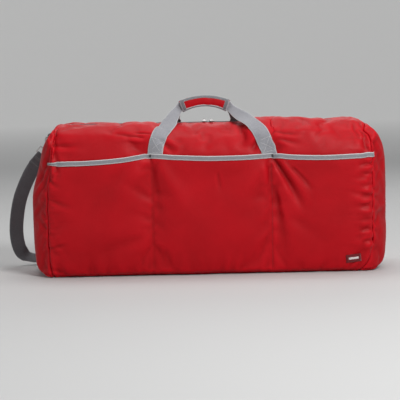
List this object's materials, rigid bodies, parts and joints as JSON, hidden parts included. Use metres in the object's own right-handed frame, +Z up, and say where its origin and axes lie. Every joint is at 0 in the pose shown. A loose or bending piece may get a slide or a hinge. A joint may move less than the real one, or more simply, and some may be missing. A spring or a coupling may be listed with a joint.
{
  "type": "padded instrument carry bag",
  "caption": "Long soft padded carry bag with a zipped top, a bound front slip pocket, carry handles joined by a padded wrap, and a shoulder strap on swivel hooks.",
  "frame": {"origin": "middle of the base, on the ground", "axes": "+X along the bag to the right as seen from the pocket side, -Y out of the pocket side, +Z up"},
  "size_m": [0.958, 0.2583, 0.445],
  "materials": {
    "shell_fabric": "thin plain-weave nylon with a soft sheen",
    "lining_fabric": "smooth grey lining",
    "foam": "closed-cell foam",
    "board": "matte",
    "binding_tape": "ribbed grosgrain tape",
    "label_weave": "woven label",
    "zip_tape": "herringbone zip tape",
    "zip_coil": "nylon coil",
    "zip_metal": "nickel plate",
    "handle_webbing": "flat woven webbing with light edges",
    "hook_and_loop": "hook-and-loop pile",
    "hardware_metal": "nickel-plated wire and castings",
    "strap_webbing": "flat woven webbing",
    "adjuster_plastic": "moulded plastic"
  },
  "bodies": {
    "root": {"front_panel": "shell_fabric", "back_panel": "shell_fabric", "bottom_panel": "shell_fabric", "left_end_panel": "shell_fabric", "right_end_panel": "shell_fabric", "front_foam_pad": "foam", "back_foam_pad": "foam", "bottom_foam_pad": "foam", "left_foam_pad": "foam", "right_foam_pad": "foam", "bottom_board": "board", "lining": "lining_fabric", "front_pocket": "shell_fabric", "pocket_binding": "binding_tape", "woven_label": "label_weave", "left_zip_tab": "shell_fabric", "right_zip_tab": "shell_fabric", "front_zip_tape": "zip_tape", "back_zip_tape": "zip_tape", "front_zip_coil": "zip_coil", "back_zip_coil": "zip_coil", "zip_stops": "zip_metal", "front_handle_anchors": "handle_webbing", "back_handle_anchors": "handle_webbing", "left_ring_tab": "handle_webbing", "right_ring_tab": "handle_webbing"},
    "left_slider": {"left_zip_slider": "zip_metal"},
    "right_slider": {"right_zip_slider": "zip_metal"},
    "left_pull": {"left_zip_pull": "zip_metal"},
    "right_pull": {"right_zip_pull": "zip_metal"},
    "carry_handle": {"front_handle_webbing": "handle_webbing", "back_handle_webbing": "handle_webbing", "grip_wrap": "shell_fabric", "grip_loop_strip": "hook_and_loop"},
    "grip_flap": {"grip_flap": "shell_fabric", "grip_binding": "binding_tape", "grip_hook_strip": "hook_and_loop"},
    "left_ring": {"left_ring": "hardware_metal"},
    "right_ring": {"right_ring": "hardware_metal"},
    "strap": {"left_strap_eye": "hardware_metal", "right_strap_eye": "hardware_metal", "shoulder_strap": "strap_webbing", "strap_adjuster": "adjuster_plastic"},
    "left_hook": {"left_hook": "hardware_metal"},
    "right_hook": {"right_hook": "hardware_metal"},
    "left_gate": {"left_hook_gate": "hardware_metal"},
    "right_gate": {"right_hook_gate": "hardware_metal"}
  },
  "joints": [
    {"name": "left_slider_run", "type": "slide", "parent": "root", "child": "left_slider", "axis": [-1, 0, 0], "range_m": [0, 0.32]},
    {"name": "right_slider_run", "type": "slide", "parent": "root", "child": "right_slider", "axis": [1, 0, 0], "range_m": [0, 0.32]},
    {"name": "left_pull_flip", "type": "hinge", "parent": "left_slider", "child": "left_pull", "pos_m": [-0.009, 0, 0.3822], "axis": [-1, 0, 0], "range_deg": [0, 196]},
    {"name": "right_pull_flip", "type": "hinge", "parent": "right_slider", "child": "right_pull", "pos_m": [0.009, 0, 0.3822], "axis": [-1, 0, 0], "range_deg": [0, 196]},
    {"name": "handle_lean", "type": "hinge", "parent": "root", "child": "carry_handle", "pos_m": [0, 0, 0.381], "axis": [1, 0, 0], "range_deg": [-70, 50], "deforming": ["front_handle_webbing", "back_handle_webbing"]},
    {"name": "grip_flap_open", "type": "hinge", "parent": "carry_handle", "child": "grip_flap", "pos_m": [0, -0.0096, 0.4055], "axis": [1, 0, 0], "range_deg": [0, 60]},
    {"name": "left_ring_swing", "type": "hinge", "parent": "root", "child": "left_ring", "pos_m": [-0.402, 0.128, 0.337], "axis": [1, 0, 0], "range_deg": [0, 50]},
    {"name": "right_ring_swing", "type": "hinge", "parent": "root", "child": "right_ring", "pos_m": [0.402, 0.128, 0.337], "axis": [1, 0, 0], "range_deg": [0, 50]},
    {"name": "strap_lift", "type": "hinge", "parent": "left_ring", "child": "strap", "pos_m": [-0.402, 0.128, 0.317], "axis": [1, 0, 0], "range_deg": [0, 100]},
    {"name": "left_hook_swivel", "type": "hinge", "parent": "strap", "child": "left_hook", "pos_m": [-0.41538, 0.128, 0.30214], "axis": [0.6691, 0, 0.7431], "range_deg": [-20, 20]},
    {"name": "right_hook_swivel", "type": "hinge", "parent": "strap", "child": "right_hook", "pos_m": [0.39682, 0.128, 0.29768], "axis": [0.2588, 0, 0.9659], "range_deg": [-20, 20]},
    {"name": "left_gate_press", "type": "hinge", "parent": "left_hook", "child": "left_gate", "pos_m": [-0.40789, 0.1326, 0.31046], "axis": [0.7431, 0, -0.6691], "range_deg": [0, 22], "stiffness_Nm_per_rad": 0.02},
    {"name": "right_gate_press", "type": "hinge", "parent": "right_hook", "child": "right_gate", "pos_m": [0.39972, 0.1326, 0.3085], "axis": [0.9659, 0, -0.2588], "range_deg": [0, 22], "stiffness_Nm_per_rad": 0.02}
  ],
  "couplings": [
    {"joint": "left_ring_swing", "follows": "strap_lift", "ratio": 0.5},
    {"joint": "right_ring_swing", "follows": "strap_lift", "ratio": 0.5}
  ]
}
